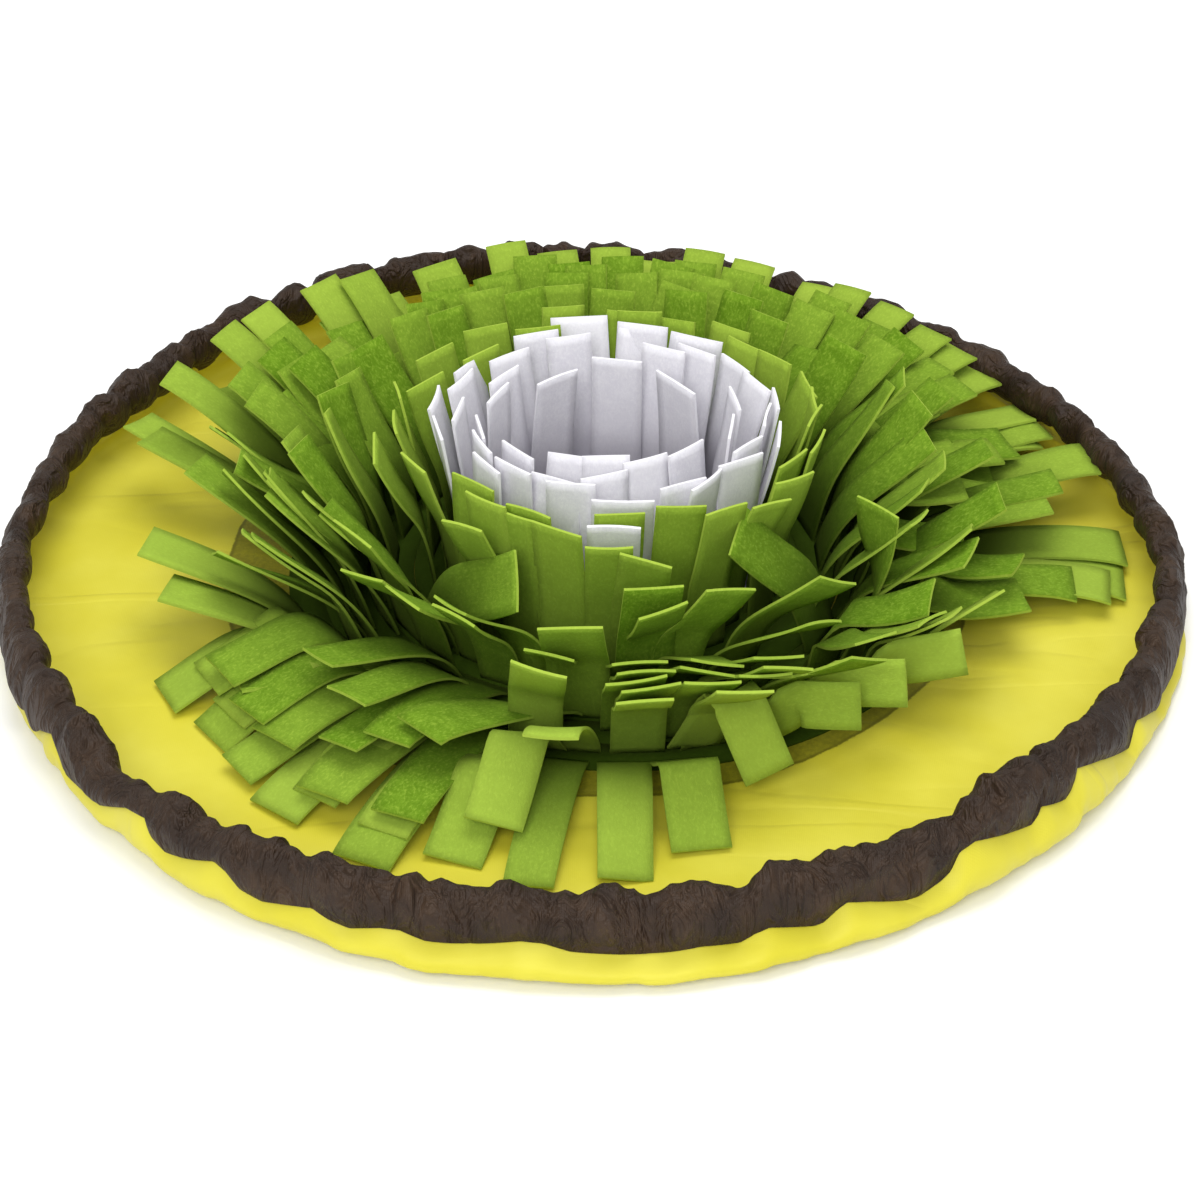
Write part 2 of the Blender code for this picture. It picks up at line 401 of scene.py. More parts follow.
casing = {
    "stations": 1500,
    "samples": 26,
    "section": ((6.0, -25.0), (6.6, -17.0), (5.2, -9.0), (1.0, -1.6), (-4.6, -0.4), (-8.4, -5.5),
                (-6.5, -14.0), (2.4, -24.0)),
    "seamOut": 6.0,  # mm from the rim's radius to the outer seam and to the crown
    "crownOut": -5.5,
    "pillowGaps": (5.0, 9.0),  # degrees from crease to crease where the photo doesn't show them
    "pillowDepth": 3.4,
    "slant": 5.0,  # degrees that a crease runs round between seam and crown
    "gatherWidth": 9.0,  # mm from pleat to pleat
    "gatherDepth": 1.0,
    "seamDrop": 3.4,
    "seed": 5,
}

# lower seam, crown and deep creases of the casing at the front, by pixels from left to right
seamSeen = (
    (28, 722), (50, 735), (65, 775), (100, 805), (125, 808), (144, 820), (150, 838), (165, 852), (185, 858),
    (212, 862), (225, 872), (240, 889), (262, 901), (295, 905), (312, 907), (330, 918), (350, 927),
    (380, 928), (398, 931), (425, 941), (450, 944), (475, 945), (520, 943), (545, 946), (570, 952),
    (620, 954), (645, 953), (670, 950), (700, 945), (740, 942), (755, 935), (770, 928), (815, 927),
    (824, 924), (835, 915), (848, 904), (870, 901), (905, 899), (918, 895), (940, 880), (950, 871),
    (960, 852), (975, 841), (1000, 835), (1032, 825), (1040, 815), (1042, 807), (1065, 799), (1073, 790),
    (1078, 770), (1100, 760), (1130, 748), (1135, 732), (1138, 721), (1150, 712), (1163, 702),
)
crownSeen = (
    (98, 762), (110, 763), (130, 778), (140, 780), (160, 793), (175, 797), (190, 808), (200, 822),
    (215, 819), (240, 826), (255, 838), (278, 843), (286, 851), (297, 848), (330, 852), (350, 860),
    (385, 872), (400, 876), (415, 875), (427, 884), (440, 883), (460, 885), (490, 890), (510, 884),
    (525, 889), (550, 895), (565, 890), (580, 894), (600, 888), (615, 888), (627, 893), (645, 893),
    (655, 889), (670, 886), (690, 881), (712, 884), (735, 882), (745, 876), (755, 868), (767, 862),
    (795, 860), (811, 864), (827, 853), (845, 853), (865, 843), (890, 844), (900, 838), (912, 834),
    (920, 826), (940, 814), (955, 811), (962, 800), (980, 793), (988, 779), (1000, 776), (1015, 762),
    (1035, 752), (1048, 745), (1060, 738), (1065, 728), (1080, 715), (1090, 705), (1100, 700),
)
creaseSeen = (
    (50, 735), (144, 822), (214, 863), (314, 908), (400, 932), (470, 945), (540, 945), (650, 953),
    (755, 935), (838, 912), (958, 856), (1041, 808), (1078, 771), (1137, 722),
)


def rimPlaces(points, offset):
    # azimuth and height in mm of pixels that lie on the rim, offset outward from its crown
    places = []
    for x, y in points:
        tries = []
        for height in np.arange(2.0, 46.0, 0.25):
            point = pixelPoint(x, y, height)
            azimuth = degrees(atan2(point.y, point.x))
            miss = abs(hypot(point.x, point.y) - lookUp(rim["radius"], azimuth) - offset)
            tries.append((miss, azimuth, height))
        places.append(min(tries)[1:])
    return sorted(places)


def seenAt(places, azimuth, otherwise):
    # height from the places, fading to the other value beyond their ends
    around = (azimuth + 180) % 360 - 180
    azimuths, heights = zip(*places)
    inside = min(around - azimuths[0], azimuths[-1] - around)
    share = min(max(inside / 4.0, 0.0), 1.0)
    return float(np.interp(around, azimuths, heights)) * share + otherwise * (1 - share)


def creaseAzimuths():
    chance = random.Random(casing["seed"])
    found = [azimuth for azimuth, height in rimPlaces(creaseSeen, casing["seamOut"])]
    azimuth, last = found[-1], found[0] + 360
    while azimuth < last - casing["pillowGaps"][0]:
        azimuth += chance.uniform(*casing["pillowGaps"])
        if azimuth < last - 3:
            found.append(azimuth)
    return found


seamPlaces = rimPlaces(seamSeen, casing["seamOut"])
crownPlaces = rimPlaces(crownSeen, casing["crownOut"])
creases = creaseAzimuths()


def pillow(azimuth):
    # 0 at a crease, 1 in the middle between two of them
    around = (azimuth - creases[0]) % 360 + creases[0]
    before = max(c for c in creases if c <= around + 1e-6)
    later = [c for c in creases if c > around + 1e-6]
    after = later[0] if later else creases[0] + 360
    t = (around - before) / (after - before)
    return sin(pi * min(max(t, 0.0), 1.0)) ** 0.65


def rimShape(azimuth):
    # uneven lie of the whole rim: shift outward and lift, in mm
    shift = 1.4 * roundNoise(azimuth, 26, 3) + 0.8 * roundNoise(azimuth, 60, 5)
    lift = 1.2 * roundNoise(azimuth, 22, 7) + 1.6 * roundNoise(azimuth, 110, 9)
    return shift, lift


def seamHeight(azimuth):
    low = lookUp(rim["height"], azimuth) - 25.0 - casing["seamDrop"] * (pillow(azimuth) - 0.6)
    return seenAt(seamPlaces, azimuth, low + 0.6 * roundNoise(azimuth, 90, 19))


def casingPoint(azimuth, place, step):
    # place goes from 0 at the outer seam to 1 at the inner seam
    out, up = step
    free = sin(pi * place) ** 0.6
    slant = casing["slant"] * min(max(2.5 * sin(radians(azimuth + 75)), -1.0), 1.0)
    slant *= 0.7 + 0.8 * roundNoise(azimuth, 9, 11)
    puffed = pillow(azimuth - slant * place)
    rate = 1570.0 / casing["gatherWidth"]
    pleat = 1 - 2.6 * abs(roundNoise(azimuth + slant * place * 1.3, rate, 13, place * 1.1))
    fine = roundNoise(azimuth + slant * place * 2, rate * 2.1, 15, place * 2.5)
    sharp = 1 - 3.2 * abs(roundNoise(azimuth - slant * place * 1.8, 84, 27, place * 2.3))
    soft = roundNoise(azimuth - slant * place, 75, 17, place * 1.6)
    front = max(0.0, cos(radians(azimuth + 92))) ** 6
    push = casing["pillowDepth"] * (1 - 0.55 * front) * (puffed - 0.75) * (0.35 + 0.65 * free)
    push += casing["gatherDepth"] * (pleat - 0.4) * free * (1.25 - 0.6 * puffed) + 0.6 * fine * free
    push += (2.1 * soft + 1.5 * sharp) * free
    shift, lift = rimShape(azimuth)
    crown = seenAt(crownPlaces, azimuth, lookUp(rim["height"], azimuth) - 1.7 + lift) + 1.7
    seam = seamHeight(azimuth)
    height = crown + up
    if place < 0.5:  # the outer half is stretched between seam and crown
        height = seam + (up + 25.0) / 24.6 * (crown - 0.4 - seam)
    radius = lookUp(rim["radius"], azimuth) + out + shift
    if place > 0.75:
        radius -= (place - 0.75) * 10 * (pillow(azimuth + 3) - 0.6)
    return radius, height, push


def makeCasing(material):
    section = curveThrough(casing["section"], casing["samples"])
    tangent = np.gradient(section, axis=0)
    normal = np.stack([tangent[:, 1], -tangent[:, 0]], axis=1)
    normal /= np.linalg.norm(normal, axis=1)[:, None]
    verts = []
    count, samples = casing["stations"], casing["samples"]
    for s in range(samples):
        for azimuth in azimuths(count):
            radius, height, push = casingPoint(azimuth, s / (samples - 1), section[s])
            point = outward(azimuth) * ((radius + normal[s, 0] * push) * mm)
            verts.append((point.x, point.y, (height + normal[s, 1] * push) * mm))
    return addPiece("rimCasing", verts, ringFaces(samples, count), material, ["rim_casing"])


ground = {
    "stations": 480,
    "patchMiddle": (5.0, 16.0),
    "patchRadius": 165.0,
    "patchSides": 22,
    "overPatch": 1.9,  # mm that the cloth lies above the ground, over the patch and beside it
    "onFloor": 0.6,
    "creaseLift": 1.6,
    "wallRows": 16,
    "tucks": ((0.9, 2.8), (1.6, 5.6)),  # mm in and up that the edge runs on inside the casing
    "thickness": 0.5,
}


def floorLift(x, y, azimuth, radius):
    # soft creases of the cloth on the ground, in mm, never below it
    soft = softNoise(x / 60, y / 60, 1.7) * 0.9 + softNoise(x / 24, y / 24, 4.2) * 0.35
    pull = roundNoise(azimuth, 44, 21, radius / 160) * min(1.0, max(0.0, (radius - 170) / 60))
    sharp = (1 - abs(softNoise(x / 45, y / 70, 9.1)) * 5)
    return ground["creaseLift"] * max(0.0, soft + 0.7 * pull + 0.25 * max(0.0, sharp))


def groundProfile(azimuth):
    # rows of (share of the way from the patch's middle to the rim's, radius, height, share of the wall)
    crown = lookUp(rim["radius"], azimuth)
    swell = lookUp(rim["bulge"], azimuth)
    seam = seamHeight(azimuth) - 1.0
    floor, foot, edge = ground["onFloor"], ground["patchRadius"] + 12, (crown + 1.2, seam + 3.4)
    rows = [(0.0, r, ground["overPatch"], 0.0) for r in np.linspace(0.5, foot - 8, 18)]
    rows += [(0.0, foot - 4, 1.2, 0.0), (0.0, foot, floor, 0.0)]
    rows += [(t, foot * (1 - t) + (crown - 9) * t, floor, 0.0) for t in np.linspace(0.08, 1.0, 22)]
    count = ground["wallRows"]
    wall = curveThrough([(crown - 9, floor), (crown - 3, 1.0), (crown + 2.5 + swell, floor + seam * 0.2),
                         (crown + 4.3 + swell, seam * 0.58), (crown + 4.1 + swell * 0.25, seam - 0.6),
                         edge], count + 1)
    rows += [(1.0, *wall[k], k / count) for k in range(1, count + 1)]
    tuck = min(max(0.5 + 3 * sin(radians(azimuth)), 0.1), 1.0)  # less where the casing is low
    rows += [(1.0, edge[0] - inward * tuck, edge[1] + up * tuck, 1.0) for inward, up in ground["tucks"]]
    return rows


def makeGround(material):
    count = ground["stations"]
    columns = []
    for azimuth in azimuths(count):
        out = outward(azimuth)
        shift, lift = rimShape(azimuth)
        column = []
        for share, radius, height, rising in groundProfile(azimuth):
            puff = 0.0
            if rising > 0:
                puff = 2.0 * roundNoise(azimuth, 85, 23, rising) + roundNoise(azimuth, 210, 25, rising * 2)
                puff *= sin(pi * min(1.0, rising * 1.1))
            centre = Vector((*ground["patchMiddle"], 0)) * (1 - share)
            place = centre + out * (radius + shift * rising + puff)
            z = height + lift * rising * 0.5
            if rising < 1:
                z += floorLift(place.x, place.y, azimuth, place.length) * (1 - rising)
            column.append(placed(place, max(z, ground["onFloor"])))
        columns.append(column)
    rows = len(columns[0])
    verts = [columns[k][r] for r in range(rows) for k in range(count)]
    faces = ringFaces(rows, count) + [tuple(range(count))]
    piece = addPiece("groundCloth", verts, faces, material, ["ground_cloth"])
    solid = piece.modifiers.new("thickness", "SOLIDIFY")
    solid.thickness = ground["thickness"] * mm
    solid.offset = 0.0
    return piece


def makePatch(material):
    shares, count, sides = (0.35, 0.7, 0.97, 1.0), 176, ground["patchSides"]
    verts = []
    for height in (0.9, 0.1):
        for share in shares:
            for k, azimuth in enumerate(azimuths(count)):
                sector = (azimuth + 180) % (360 / sides) - 180 / sides
                flatSide = cos(radians(180 / sides)) / cos(radians(sector))
                radius = ground["patchRadius"] * share * (1 + (flatSide - 1) * 0.7)
                fray = 0.5 * softNoise(k * 1.7, height) if share == 1.0 else 0.0
                point = outward(azimuth) * (radius + fray)
                verts.append(placed(point, height, ground["patchMiddle"]))
    half = len(shares) * count
    faces = ringFaces(len(shares), count)
    faces += [tuple(v + half for v in reversed(face)) for face in faces]
    for k in range(half - count, half):
        n = k + 1 if k + 1 < half else half - count
        faces.append((k, n, half + n, half + k))
    faces.append(tuple(reversed(range(count))))
    faces.append(tuple(range(half, half + count)))
    return addPiece("basePatch", verts, faces, material, ["base_patch"], smooth=False)


# rings of felt: middle and radius in mm, reach of the uncut band in and out from the seam, layers, strips to
# a layer, least distance from a listed strip as a share of the spacing, and how light the strips are
rings = {
    "columns": ("name", "node", "middle", "radius", "bandIn", "bandOut", "layers", "strips",
                "room", "tone", "colour"),
    "rows": (
        # tone ranges: the high range of the flat outer row is partly painted light, the low ranges of the
        # inner wreath rows partly painted shade
        ("wreathRow1", "wreath_row_1", (16, 15), 139, 9, 8, 1, 42, 0.55, (0.65, 1.0), "green"),
        ("wreathRow2", "wreath_row_2", (14, 16), 125, 9, 6, 2, 26, 0.55, (0.0, 0.45), "green"),
        ("wreathRow3", "wreath_row_3", (12, 17), 111, 9, 6, 2, 23, 0.55, (0.0, 0.45), "green"),
        ("wreathRow4", "wreath_row_4", (10, 17), 97, 11, 6, 2, 20, 0.55, (0.0, 0.45), "green"),
        ("collarRow", "collar_row", (10, 17), 74, 6, 11.7, 2, 16, 0.35, (0.5, 0.85), "green"),
        ("cupRowOuter", "cup_row_outer", (9, 17), 60, 6, 7, 2, 14, 0.5, (0.3, 0.8), "white"),
        ("cupRowInner", "cup_row_inner", (9, 17), 46, 30, 7, 1, 14, 0.5, (0.3, 0.8), "white"),
    ),
}

# how far each ring leans out from upright, and how far the strips of the wreath lie round from their own
# roots, in degrees, by azimuth from -180 in steps of 22.5
leans = {
    "wreathRow1": (53, 58, 90, 91, 91, 40, 38, 50, 88, 82, 70, 57, 52, 54, 60, 66),
    "wreathRow2": (42, 47, 77, 76, 46, 42, 40, 48, 70, 64, 54, 46, 42, 43, 48, 50),
    "wreathRow3": (32, 37, 60, 60, 46, 44, 41, 42, 54, 50, 43, 36, 32, 33, 37, 38),
    "wreathRow4": (24, 28, 42, 44, 48, 46, 38, 34, 38, 36, 30, 25, 22, 23, 27, 28),
    "collarRow": (10, 10, 9, 10, 12, 13, 14, 15, 15, 15, 16, 16, 16, 14, 12, 11),
    "cupRowOuter": (6, 4, 3, 4, 6, 8, 9, 10, 10, 12, 13, 14, 14, 11, 9, 7),
    "cupRowInner": (3, 2, -2, -8, -13, -10, -3, 2, 6, 8, 8, 8, 8, 6, 5, 4),
    "sweep": (-24, -26, -8, 0, 0, 12, 28, 14, 4, 0, 0, 0, 0, 0, 0, -10),
}

strips = {
    "length": 80.0,  # mm
    "width": 20.6,
    "thick": 1.15,
    "footTop": 6.8,
    "footLow": 3.4,
    "overPatch": 3.4,  # lowest that a strip's middle lies over the patch and beside it
    "overFloor": 2.2,
    "narrowest": 19.5,  # widths allowed for strips that are listed
    "widest": 26.0,
    "layerGap": 3.5,  # either side of the seam
    "stack": 0.2,  # how much higher inner strips lie, by mm of the seam's radius
    "stackFrom": 146,
    "bandLow": 2.3,
    "bandTop": 3.6,
    "bandRise": 0.004,  # how much higher inner bands lie, by mm of the seam's radius
    "bandStations": 180,
    "across": 5,
    "along": 18,
    "taut": 0.985,  # share of its length that a strip can span
    "hang": 14.0,  # degrees that a tip bends down
    "highDroop": -16,  # added to that for tips at their highest, and for crossing strips
    "crossDroop": -14,
    "leanJitter": 3.0,
    "leanDrift": 7.0,  # degrees that neighbours share
    "sweepJitter": 6.0,
    "sweepDrift": 15.0,
    "twistJitter": 14.0,
    "frontLift": 0.5,  # how much of the shade at their feet the front strips lose
    "calm": 0.6,  # share of the unevenness that the cup keeps
    "seed": 11,
}

# strips that show plainly, by ring and layer, of which 0 is the outer one: pixels of the tip's left and right
# corner, height of the tip in mm, degrees from the tip round to the root, and how much more the tip hangs
# a height of 0 stands for the lowest place that the strip's length allows, and none for the highest
shown = {
    ("wreathRow1", 0): (
        (504, 880, 552, 893, 3), (600, 888, 651, 872, 3), (672, 854, 732, 846, 4),
        (421, 862, 483, 861, 3, 0, -10), (333, 852, 388, 873, 3), (251, 797, 296, 827, 3),
        (192, 722, 229, 755, 3), (155, 675, 175, 721, 4), (161, 380, 176, 365, 0), (211, 337, 235, 322, 0),
        (239, 318, 271, 303, 0), (299, 290, 336, 276, 0), (411, 267, 457, 263, 0), (487, 245, 524, 242, 0),
        (537, 252, 577, 252, 0), (592, 248, 629, 248, 0), (640, 262, 678, 262, 0), (689, 251, 722, 251, 0),
        (734, 263, 776, 263, 0), (808, 281, 834, 291, 0), (838, 281, 869, 295, 0), (883, 304, 912, 312, 0),
        (924, 327, 948, 338, 0), (950, 343, 975, 360, 0), (975, 360, 993, 386, 0), (1031, 418, 1053, 438, 0),
        (1078, 435, 1103, 483, 24), (1122, 533, 1124, 565, 7), (1124, 567, 1124, 600, 4),
    ),
    ("wreathRow1", 1): (
        (463, 829, 523, 820, 14), (357, 825, 408, 839, 8), (296, 785, 331, 811, 8), (216, 697, 242, 733, 10),
        (195, 663, 218, 697, 13), (341, 283, 371, 267, 0), (1019, 419, 1038, 450, 0),
        (1111, 573, 1109, 605, 8), (744, 779, 796, 771, 12, -8, 40), (522, 738, 579, 738, None, 0, 16),
        (616, 703, 674, 699), (716, 693, 775, 691),
    ),
    ("wreathRow2", 0): (
        (373, 806, 421, 826, 15), (306, 774, 337, 815, 14), (264, 717, 282, 760, 18),
        (235, 696, 257, 728, 20), (208, 651, 230, 691, 24), (226, 382, 250, 364, 0), (262, 340, 292, 322, 0),
        (322, 319, 349, 310, 0), (780, 297, 813, 309, 48), (864, 318, 907, 338, 48),
        (930, 356, 951, 374, 42), (1001, 427, 1017, 461, 26), (1031, 455, 1033, 497, 12),
        (622, 692, 681, 684), (684, 684, 742, 682),
    ),
    ("wreathRow2", 1): (
        (254, 358, 287, 340, 0), (354, 322, 392, 302, 0), (953, 373, 974, 396, 44), (992, 438, 999, 463, 29),
        (1003, 478, 1010, 524, 20), (1082, 571, 1066, 598, 12, -6, 0), (606, 685, 667, 677),
        (762, 668, 815, 668),
    ),
    ("wreathRow3", 0): (
        (240, 402, 267, 383, 0), (300, 357, 344, 341, 56), (917, 389, 933, 417, 42),
        (954, 438, 959, 463, 36), (960, 467, 966, 502, 34), (399, 714, 439, 747, 35, 13, 20),
        (617, 673, 676, 670), (738, 677, 794, 674),
    ),
    ("wreathRow3", 1): (
        (375, 725, 398, 754, 30), (286, 366, 318, 348, 0), (965, 525, 962, 553, 36), (680, 668, 738, 676),
        (752, 659, 806, 656),
    ),
    ("wreathRow4", 0): ((802, 338, 822, 360, 52), (612, 664, 668, 661), (624, 590, 684, 586)),
    ("wreathRow4", 1): ((690, 660, 745, 667), (640, 618, 687, 604)),
    ("collarRow", 0): (
        (453, 472, 494, 491), (493, 508, 531, 521), (532, 522, 581, 536), (586, 548, 632, 548),
        (620, 556, 672, 565),
    ),
    ("collarRow", 1): ((446, 520, 478, 530),),
    ("cupRowOuter", 0): (
        (549, 315, 609, 318, 79, 0, -10), (618, 321, 668, 328, 81, 0, -10), (671, 333, 723, 341, 80, 0, -10),
        (532, 471, 582, 486), (587, 526, 641, 527), (660, 489, 706, 477), (719, 467, 763, 452),
    ),
    ("cupRowOuter", 1): ((590, 501, 656, 501), (581, 481, 628, 468)),
    ("cupRowInner", 0): (
        (537, 384, 577, 369), (592, 357, 642, 362), (655, 369, 697, 395), (487, 403, 508, 382),
        (548, 453, 606, 459),
    ),
}


# strips that lean aside of their own root: pixels of the tip's two corners, its height in mm, and the pixel
# of the lowest place where the strip's middle is seen
# the tip lies flat, unless the last word says that it shows its edge or stands facing outward
crossing = {
    ("wreathRow1", 0): (
        (143, 524, 148, 559, 41, 262, 604), (160, 572, 172, 602, 33, 298, 642),
        (140, 411, 135, 431, 36, 225, 500), (1002, 585, 1000, 598, 46, 862, 693, "edge"),
        (963, 648, 966, 655, 38, 872, 706, "stands"), (860, 700, 862, 712, 34, 772, 734, "stands"),
    ),
    ("wreathRow1", 1): (
        (153, 425, 146, 447, 39, 235, 512), (511, 664, 566, 676, 67, 530, 735),
        (955, 609, 948, 622, 52, 860, 685, "edge"), (905, 676, 908, 690, 40, 822, 716, "stands"),
    ),
    ("wreathRow2", 0): (
        (197, 449, 193, 478, 54, 258, 585), (240, 525, 246, 540, 60, 325, 658, "edge"),
        (1027, 557, 1010, 574, 36, 898, 598), (1026, 575, 1021, 616, 24, 930, 625),
        (936, 612, 928, 624, 54, 850, 670, "edge"),
    ),
    ("wreathRow2", 1): (
        (207, 419, 217, 437, 50, 275, 480, "edge"), (222, 426, 236, 440, 54, 290, 495, "edge"),
        (252, 531, 258, 545, 62, 325, 650, "edge"), (858, 497, 899, 516, 74, 874, 605),
        (855, 645, 897, 632, 52, 828, 692),
    ),
    ("wreathRow3", 0): (
        (261, 459, 268, 485, 66, 300, 600, "edge"), (537, 628, 603, 628, 72, 580, 705),
        (927, 582, 936, 611, 50, 800, 642), (815, 668, 800, 680, 50, 745, 690, "edge"),
    ),
    ("wreathRow3", 1): (
        (240, 453, 236, 468, 58, 265, 482), (275, 472, 271, 501, 62, 362, 640),
        (722, 544, 752, 518, 70, 815, 630),
    ),
    ("wreathRow4", 0): (
        (292, 418, 287, 450, 70, 305, 480), (306, 433, 289, 456, 72, 325, 510),
        (335, 521, 370, 546, 72, 390, 650), (704, 594, 758, 585, 72, 692, 650),
    ),
    ("wreathRow4", 1): (
        (302, 487, 315, 510, 68, 350, 560, "edge"), (327, 498, 325, 514, 62, 425, 583),
        (447, 600, 452, 612, 64, 512, 655, "edge"), (502, 562, 532, 600, 60, 425, 645),
    ),
}

# where a ring has no other strips than those listed, from and to an azimuth in degrees
bare = {
    ("wreathRow1", 0): ((-180, -147), (164, 180), (-112, -12)),
    ("wreathRow2", 0): ((-180, -150), (168, 180), (-112, -84)),
    ("wreathRow2", 1): ((-115, -80),),
    ("wreathRow3", 0): ((-150, -136),),
    ("wreathRow3", 1): ((-112, -88), (-60, -48)),
    ("wreathRow4", 0): ((-50, -36),),
    ("wreathRow4", 1): ((-44, -32),),
}


def floorUnder(point):
    # lowest height in mm for a strip's middle at this place
    away = Vector((point[0], point[1], 0)) - Vector((*ground["patchMiddle"], 0))
    return strips["overPatch"] if away.length < ground["patchRadius"] + 6 else strips["overFloor"]


def bezier(points, t):
    a, b, c, d = points
    s = 1 - t
    near = (s**3)[:, None] * a + (3 * s**2 * t)[:, None] * b
    return near + (3 * s * t**2)[:, None] * c + (t**3)[:, None] * d


def stripLine(root, start, tip, finish, length, count):
    # a bend of the given length from root to tip: start and finish are its directions there
    t = np.linspace(0, 1, 40)
    root, start, tip, finish = (np.array(v, float) for v in (root, start, tip, finish))
    chord, span = np.linalg.norm(tip - root), length * strips["taut"]
    if chord > span:
        tip = root + (tip - root) * (span / chord)
    low, high = 0.02, 0.66  # longer handles make a longer bend
    for _ in range(24):
        handle = (low + high) / 2
        line = bezier((root, root + start * handle * length, tip - finish * handle * length, tip), t)
        if np.linalg.norm(np.diff(line, axis=0), axis=1).sum() > length:
            high = handle
        else:
            low = handle
    return evenly(line, count)


def unit(vector):
    return vector / max(np.linalg.norm(vector), 1e-9)


def stripSurface(line, rootSide, tipSide, width, cup):
    # the middle surface of one strip: points along its line and across it
    # without a side for its tip it keeps facing the way it faces at its root
    count = len(line)
    tangent = np.gradient(line, axis=0)
    across = np.linspace(-1, 1, strips["across"] + 1)
    surface = np.zeros((count, len(across), 3))
    normals = np.zeros((count, 3))
    for k in range(count):
        t = k / (count - 1)
        ease = t * t * (3 - 2 * t)
        along = unit(tangent[k])
        if tipSide is None:
            side = np.cross((rootSide[1], -rootSide[0], 0.15 + 0.35 * ease), along)
        else:
            side = rootSide * (1 - ease) + tipSide * ease
        side = unit(side - along * side.dot(along))
        normal = np.cross(along, side)
        normals[k] = normal
        bow = cup * ease * (across**2 - 0.4)
        surface[k] = line[k] + side * (across * width / 2)[:, None] + normal * bow[:, None]
        surface[k, :, 2] = np.maximum(surface[k, :, 2], min(floorUnder(line[k]) - 0.5, line[k, 2]))
    return surface, normals


class FeltRing:
    # gathers the strips of one ring into a single mesh
    def __init__(self, row):
        self.row = row
        self.verts, self.faces = [], []
        self.uvs, self.tones, self.cuts, self.rises = [], [], [], []
        self.area = 0.0

    def addBand(self):
        # the uncut edge of the fringe, laid flat under the strips' feet
        row, count = self.row, strips["bandStations"]
        inner, outer = row["radius"] - row["bandIn"], row["radius"] + row["bandOut"]
        raised = (rings["rows"][0][3] - row["radius"]) * strips["bandRise"]
        low, top = strips["bandLow"] + raised, strips["bandTop"] + raised
        for radius, height in ((inner, low), (outer, low), (outer, top), (inner, top)):
            for azimuth in azimuths(count):
                self.verts.append(placed(outward(azimuth) * radius, height, row["middle"]))
        step, wide = 2 * pi * row["radius"] * mm / count, 0.01
        for r in range(4):
            for k in range(count):
                n, m = (k + 1) % count, (r + 1) % 4
                self.faces.append((r * count + k, m * count + k, m * count + n, r * count + n))
                for i, j in ((0, 0), (0, 1), (1, 1), (1, 0)):
                    self.uvs.append((step * (k + i), r * wide + j * wide))
        # the band keeps rise 0, so it is wholly painted in the shade colour of the feet
        for values in (self.cuts, self.tones, self.rises):
            values += [0.0] * (4 * count)
        self.area += pi * (outer**2 - inner**2) * mm * mm

    def addStrip(self, surface, normals, tone, shift, lift):
        count, wide = surface.shape[:2]
        base, size = len(self.verts), count * wide
        raised = normals[:, None, :] * (strips["thick"] / 2)
        for sheet in (surface + raised, surface - raised):
            self.verts += [tuple(v * mm) for v in sheet.reshape(-1, 3)]
            # rise runs from lift at the root to 1 at the tip; the lower it is, the more painted shade the
            # felt takes
            self.rises += [lift + (1 - lift) * k / (count - 1) for k in range(count) for j in range(wide)]
        width = np.linalg.norm(surface[0, -1] - surface[0, 0])
        length = np.linalg.norm(np.diff(surface[:, wide // 2], axis=0), axis=1).sum()
        self.area += width * length * mm * mm
        spot = [(shift[0] + width * mm * j / (wide - 1), shift[1] + length * mm * k / (count - 1))
                for k in range(count) for j in range(wide)] * 2

        def add(corners, cut):
            self.faces.append(tuple(base + c for c in corners))
            self.uvs += [spot[c] for c in corners]
            self.cuts.append(cut)
            self.tones.append(tone)

        last = size - wide
        for left in range(0, last, wide):
            right = left + wide - 1
            for k in range(left, right):
                add((k, k + 1, k + wide + 1, k + wide), 0.0)
                add((size + k, size + k + wide, size + k + wide + 1, size + k + 1), 0.0)
            add((left, left + wide, size + left + wide, size + left), 1.0)
            add((right, size + right, size + right + wide, right + wide), 1.0)
        for k in range(wide - 1):
            add((k, size + k, size + k + 1, k + 1), 1.0)
            add((last + k, last + k + 1, size + last + k + 1, size + last + k), 1.0)

    def finish(self, material):
        row = self.row
        piece = addPiece(row["name"], self.verts, self.faces, material, [row["node"]])
        mesh = piece.data
        mesh.uv_layers.new(name="felt").data.foreach_set("uv", np.array(self.uvs, np.float32).ravel())
        for name, domain, values in (("tone", "FACE", self.tones), ("cut", "FACE", self.cuts),
                                     ("rise", "POINT", self.rises)):
            mesh.attributes.new(name, "FLOAT", domain).data.foreach_set("value", values)
        mesh.polygons.foreach_set("use_smooth", [cut == 0.0 for cut in self.cuts])
        around = 2 * pi * row["radius"] * mm
        tall = (strips["length"] * 1.05 * row["layers"] + row["bandIn"] + row["bandOut"]) * mm
        min(self.area, around * tall)
        return piece


def azimuthOf(row, point):
    return degrees(atan2(point.y - row["middle"][1], point.x - row["middle"][0]))


def footAt(row, radius, azimuth):
    return Vector((*row["middle"], strips["footTop"])) + outward(azimuth) * radius


def reachHeight(row, radius, x, y, turn, fromTop):
    # the first height, counted from the top or from the ground, that the strip's length allows
    heights = np.arange(3.0, 80.0 if fromTop else 70.0, 0.5)
    for height in heights[::-1] if fromTop else heights:
        point = pixelPoint(x, y, height)
        root = footAt(row, radius, azimuthOf(row, point) + turn)
        if (point - root).length <= strips["length"] * 0.95:
            break
    return height


